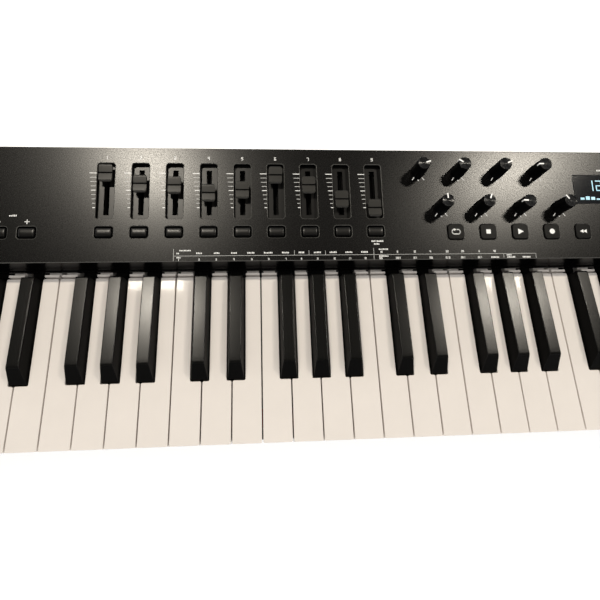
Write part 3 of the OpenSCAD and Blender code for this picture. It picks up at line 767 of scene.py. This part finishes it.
def encoder():
    origin = Matrix.Translation(joints["data_encoder_turn"]["pos_m"])
    stand = origin @ PANEL.to_3x3().to_4x4()
    bm = turned(ENCODER_SIDE, ENCODER_TOP, encoder_grip, stand)
    prism(bm, circle(0, 0, STEM_R, 24), STEM_END, 1.0, stand, 0)
    bmesh.ops.recalc_face_normals(bm, faces=bm.faces)
    return finish_mesh("encoder_turned", bm, ["knob", "knob_top"], "data_encoder",
                       ("data_encoder",), origin)


for i in range(8):
    knob(i)
encoder()

# ---------- print on the panel ----------

# digits as seven strokes, with each stroke's ends in half heights
DIGITS = {"0": "abcdef", "1": "bc", "2": "abged", "3": "abgcd", "4": "fgbc", "5": "afgcd",
          "6": "afgedc", "7": "abc", "8": "abcdefg", "9": "gfabcd"}
STROKES = {"a": (0, 2, 1, 2), "b": (1, 2, 1, 1), "c": (1, 1, 1, 0), "d": (0, 0, 1, 0),
           "e": (0, 1, 0, 0), "f": (0, 2, 0, 1), "g": (0, 1, 1, 1)}
INK = 0.035                                     # how far the print stands proud of the panel
printed = bmesh.new()


def ink(outline, dim=False):
    prism(printed, outline, -0.05, INK, FACE, 1 if dim else 0)


def number(text, cx, s, tall, weight=0.5):
    wide = tall * 0.5
    left = cx - (len(text) * wide + (len(text) - 1) * wide * 0.7) / 2
    for k, ch in enumerate(text):
        x0 = left + k * wide * 1.7
        for key in DIGITS[ch]:
            a, b, c, d = STROKES[key]
            ink(bar(x0 + a * wide, s + (b - 1) * tall / 2,
                    x0 + c * wide, s + (d - 1) * tall / 2, weight))


rng = random.Random(7)


def dashes(cx, s, letters, tall=1.35, pitch=1.2):
    """Where the real panel has a word, a row of plain upright marks."""
    for k in range(letters):
        x = cx + (k - (letters - 1) / 2) * pitch
        t = tall * rng.choice((0.8, 1.0, 1.0))
        ink(box(x - 0.4, s - tall / 2, x + 0.4, s - tall / 2 + t))


# the faders' scales and numerals
SCALE_TOP, SCALE_STEP = 15.1, 3.7
FAINT = 0.3                                     # width of the thin lines
for i, x in enumerate(FADER_X):
    for k in range(9):
        s = MID_S + SCALE_TOP - SCALE_STEP * k
        main = k in (0, 4, 8)
        ink(bar(x - 12.7 + 0.45 * k, s, x - 7.65, s, 0.62 if main else 0.5), dim=not main)
    number(str(i + 1), x, 88.1, 2.4)
dashes(FADER_X[8] - 2.6, 16.0, 3)
dashes(FADER_X[8] + 2.9, 16.0, 6, pitch=0.95)
dashes(FADER_X[8], 13.6, 4)

# the two rows over the keys, with the line between them and its uprights
LINE_S, UPPER_S, LOWER_S = 4.5, 6.75, 1.45
ink(bar(1.7, LINE_S, 303.0, LINE_S, FAINT), dim=True)
for x, s0, s1 in ((1.7, 0.4, 10.3), (98.3, LINE_S, 8.4), (110.2, LINE_S, 8.2),
                  (123.7, LINE_S, 8.0), (163.8, 0.6, 10.0), (274.7, 1.0, LINE_S),
                  (303.0, 0.6, LINE_S)):
    ink(bar(x, s0, x, s1, FAINT), dim=True)
UPPER = [5, 21.8, 35.7, 49.5, 63, 77, 91, 104, 117, 130, 143, 156,
         170, 183.7, 198, 211.6, 226, 239.2, 253.7, 267]
LOWER = [5.5, 21.9, 35.4, 49.5, 63.8, 77.4, 91.3, 103.9, 117.2, 130.8, 143.5, 156.4,
         169.2, 183.7, 198, 211.6, 226, 239.2, 253.7, 267, 281.1, 294.5]
LENGTHS = [2, 4, 4, 4, 5, 6, 5, 4, 5, 5, 5, 5]
UPPER_NUMBERS = ["16", "8", "12", "4", "32", "24", "6", "48"]
LOWER_NUMBERS = [str(k + 1) for k in range(12)]
LOWER_NUMBERS += ["135", "1357", "157", "158", "1510", "351", "531"]
for x, letters in zip(UPPER, LENGTHS):
    dashes(x, UPPER_S, letters)
for x, text in zip(UPPER[12:], UPPER_NUMBERS):
    number(text, x, UPPER_S, 1.5, 0.36)
for x, text in zip(LOWER, LOWER_NUMBERS):
    number(text, x, LOWER_S, 1.4, 0.36)
for x in LOWER[19:]:
    dashes(x, LOWER_S, 6)
for x, s, n in ((10.8, 9.0, 8), (5.7, 3.2, 3), (172.0, 9.0, 7), (172.0, 3.2, 7), (279.4, 3.3, 4)):
    dashes(x, s, n, 1.1, 1.15)

# two ticks and a dot round each knob
TICK_IN, TICK_OUT, DOT_AT = 6.3, 8.9, 7.7
for i in range(8):
    c = PANEL_INV @ Vector(joints["knob_%d_turn" % (i + 1)]["pos_m"])
    cx, cs = (c.x - FIRST_C) / MM, c.y / MM
    for a in (235, 305):
        ca, sa = math.cos(math.radians(a)), math.sin(math.radians(a))
        ink(bar(cx + TICK_IN * ca, cs + TICK_IN * sa, cx + TICK_OUT * ca, cs + TICK_OUT * sa, 0.62))
    ink(circle(cx, cs - DOT_AT, 0.55))

# minus and plus at the octave buttons
SIGN_S, SIGN = 33.4, 1.6
for x in OCTAVE_X:
    ink(bar(x - SIGN, SIGN_S, x + SIGN, SIGN_S, 0.55))
ink(bar(OCTAVE_X[1], SIGN_S - SIGN, OCTAVE_X[1], SIGN_S + SIGN, 0.55))
dashes(-123, 38.5, 5)
dashes(372, 79.6, 7)
dashes(431, 81.5, 5)
for x, s in ((404, 24.5), (428, 24.5), (420, 44), (442, 44)):
    dashes(x, s - 7.4, 4)
PAD_X, PAD_PITCH = 453.8, 26.5
for i in range(8):
    for s, first in ((41.5, 9), (69.5, 1)):
        number(str(i + first), PAD_X + PAD_PITCH * i, s, 1.3, 0.34)
bmesh.ops.recalc_face_normals(printed, faces=printed.faces)
finish_mesh("panel_print", printed, ["white_print", "dim_print"], "case")

# ---------- icons on the transport buttons ----------

icons = bmesh.new()
ICON_H = 1.1
ICON_S, LOOP_S = 23.5, 23.4                     # middle of the marks, and of the loop
LOOP_TOP = 25.35
STROKE = 0.85
TRANSPORT_X = [234.8 + 28.2 * k for k in range(6)]


def icon(outline):
    prism(icons, outline, ICON_H - 0.1, ICON_H + INK, FACE, 0)


def triangle(cx, cy, size, left=False):
    k = -1 if left else 1
    points = [(cx - k * size * 0.45, cy - size * 0.55), (cx + k * size * 0.6, cy),
              (cx - k * size * 0.45, cy + size * 0.55)]
    return points[::-1] if left else points


loop = rounded(7.0, 3.9, 1.9, 6, TRANSPORT_X[0], LOOP_S)
for a, b in closed(loop):
    mid = ((a[0] + b[0]) / 2 - TRANSPORT_X[0], (a[1] + b[1]) / 2)
    if not (abs(mid[0]) < 1.6 and mid[1] > 24):     # the gap for the arrow
        icon(bar(a[0], a[1], b[0], b[1], STROKE))
icon(bar(TRANSPORT_X[0] + 1.2, LOOP_TOP, TRANSPORT_X[0] + 1.9, LOOP_TOP, STROKE))
icon(triangle(TRANSPORT_X[0] - 0.9, LOOP_TOP, 2.3))
icon(rounded(3.9, 3.8, 0.5, 3, TRANSPORT_X[1], ICON_S))
icon(triangle(TRANSPORT_X[2], ICON_S, 4.6))
icon(circle(TRANSPORT_X[3], ICON_S, 2.3, 28))
for x, left in ((TRANSPORT_X[4], True), (TRANSPORT_X[5], False)):
    for d in (-1.5, 1.5):
        icon(triangle(x + d, ICON_S, 3.0, left))
bmesh.ops.recalc_face_normals(icons, faces=icons.faces)
finish_mesh("transport_icons", icons, ["white_print"], "transport_buttons")

# ---------- display ----------

screen = bmesh.new()
LENS_H = -0.1
DIGIT_W, HALF_DIGIT, DIGIT_S = 4.6, 4.4, 61
BAR_X, BAR_W, BAR_PITCH, BAR_S = 350, 3.6, 4.9, 52.4


def lit(outline):
    prism(screen, outline, LENS_H - 0.05, LENS_H + 0.03, FACE, 0)


for x, ch in ((358, "1"), (366, "2"), (374, "0")):
    for key in DIGITS[ch]:
        a, b, c, d = STROKES[key]
        lit(bar(x + a * DIGIT_W, DIGIT_S + b * HALF_DIGIT,
                x + c * DIGIT_W, DIGIT_S + d * HALF_DIGIT, 0.9))
for k in range(9):
    x0, x1 = BAR_X + k * BAR_PITCH, BAR_X + BAR_W + k * BAR_PITCH
    lit(box(x0, BAR_S, x1, BAR_S + 0.8 + 1.2 * (1 + math.sin(k * 1.3))))
for k in range(4):
    lit(bar(386, 62 + 2.4 * k, 393, 62 + 2.4 * k, 0.6))
bmesh.ops.recalc_face_normals(screen, faces=screen.faces)
finish_mesh("display_marks", screen, ["screen"], "case")

# ---------- rear details ----------

SOCKET_Z = 4                                    # the sockets' height over the white keys' tops
REAR = (Matrix.Translation((0, panel_back, TOP + SOCKET_Z * MM))
        @ Matrix.Rotation(math.radians(90), 4, "X") @ Matrix.Rotation(math.radians(180), 4, "Y"))
JACKS = (250, 276, 302)
USB, DC = 372, 396
LABELS = ((-250, 5), (-276, 4), (-302, 4), (-338, 4), (-372, 3), (-396, 3), (-426, 5))
LABEL_Z, LABEL_TALL, LABEL_PITCH = 12.5, 2.0, 1.7
rear = bmesh.new()


def rear_marks(x, letters):
    for k in range(letters):
        c = -x + (k - (letters - 1) / 2) * LABEL_PITCH
        prism(rear, box(c - 0.55, LABEL_Z, c + 0.55, LABEL_Z + LABEL_TALL), -0.06, -0.005, REAR, 0)


for x, letters in LABELS:
    rear_marks(x, letters)
bmesh.ops.recalc_face_normals(rear, faces=rear.faces)
finish_mesh("rear_print", rear, ["white_print"], "case")

inner = bmesh.new()
prism(inner, rounded(5.6, 3.2, 0.4, 3, USB, 0), -9.9, -1.4, REAR, 0)
for k in range(4):
    x = USB - 1.7 + 3.4 * (k % 2)
    z = 1.62 if k < 2 else -1.62
    prism(inner, box(x - 0.5, z - 0.08, x + 0.5, z + 0.08), -9.0, -2.2, REAR, 1)
prism(inner, circle(DC, 0, 1.0, 24), -10.9, -1.8, REAR, 1)
for x in JACKS:
    outer, hole = circle(x, 0, 4.9, 36), circle(x, 0, 3.3, 36)
    for k in range(36):
        j = (k + 1) % 36
        prism(inner, [hole[k], outer[k], outer[j], hole[j]], -0.35, -0.02, REAR, 2)
bmesh.ops.remove_doubles(inner, verts=inner.verts, dist=1e-6)
bmesh.ops.recalc_face_normals(inner, faces=inner.faces)
finish_mesh("socket_fittings", inner, ["socket", "contact", "steel"], "case")

# ---------- stage, lights and camera ----------

floor_mesh = bpy.data.meshes.new("floor")
floor_mesh.from_pydata([(-4, -4, 0), (4, -4, 0), (4, 4, 0), (-4, 4, 0)], [], [(0, 1, 2, 3)])
floor = bpy.data.objects.new("floor", floor_mesh)
floor_pale = surface("floor_pale", (0.93, 0.93, 0.93), 0.6, vary=0.01, grain=40, depth=0.02,
                     wear=60)
floor_shader = floor_pale.node_tree.nodes["Principled BSDF"]
floor_shader.inputs["Emission Color"].default_value = (1.0, 1.0, 1.0, 1)
floor_shader.inputs["Emission Strength"].default_value = 0.45
floor_mesh.materials.append(floor_pale)
scene.collection.objects.link(floor)


CEILING = 2.0                                   # metres over the keys


def ceiling_light(name, x, y, w, l, power):
    """A panel light in the ceiling, placed in mm from the second C and the key fronts."""
    light = bpy.data.lights.new(name, "AREA")
    light.shape = "RECTANGLE"
    light.size, light.size_y = w * MM, l * MM
    light.energy = power
    light.color = (1.0, 0.925, 0.80)
    ob = bpy.data.objects.new(name, light)
    scene.collection.objects.link(ob)
    ob.location = (FIRST_C + x * MM, FRONT + y * MM, TOP + CEILING)


ceiling_light("light_left", -516, 878, 306, 100, 18.5)
ceiling_light("light_right", 1434, 858, 426, 107, 20)

fill_data = bpy.data.lights.new("soft_front", "AREA")
fill_data.shape = "RECTANGLE"
fill_data.size, fill_data.size_y = 3.4, 1.3
fill_data.energy = 39
fill_data.color = (1.0, 0.985, 0.955)
fill = bpy.data.objects.new("soft_front", fill_data)
scene.collection.objects.link(fill)
fill.visible_glossy = False
fill.location = (FIRST_C + 75 * MM, FRONT - 0.95, TOP + 2.1)
aim = Vector((FIRST_C, FRONT, TOP)) - fill.location
fill.rotation_euler = aim.to_track_quat("-Z", "Y").to_euler()

world = bpy.data.worlds.new("studio")
scene.world = world
world.use_nodes = True
background = world.node_tree.nodes["Background"]
background.inputs["Color"].default_value = (1.0, 0.99, 0.975, 1)
links = world.node_tree.links
# pale all round the room and dark overhead
place = world.node_tree.nodes.new("ShaderNodeTexCoord")
split = world.node_tree.nodes.new("ShaderNodeSeparateXYZ")
fade = world.node_tree.nodes.new("ShaderNodeMapRange")
fade.inputs["From Min"].default_value, fade.inputs["From Max"].default_value = 0.32, 0.58
fade.inputs["To Min"].default_value, fade.inputs["To Max"].default_value = 0.85, 0.02
links.new(place.outputs["Generated"], split.inputs["Vector"])
links.new(split.outputs["Z"], fade.inputs["Value"])
links.new(fade.outputs["Result"], background.inputs["Strength"])

cam_data = bpy.data.cameras.new("camera")
cam = bpy.data.objects.new("camera", cam_data)
scene.collection.objects.link(cam)
cam_data.sensor_width = 36
cam_data.lens = 26.83
cam_data.clip_start, cam_data.clip_end = 0.01, 50
cam.location = (FIRST_C + 74.66 * MM, FRONT - 0.48 * MM, TOP + 356.82 * MM)
cam.rotation_euler = Euler([math.radians(a) for a in (17.805, -3.862, -2.178)], "XYZ")
scene.camera = cam
scene.view_settings.view_transform = "Standard"
scene.view_settings.look = "None"
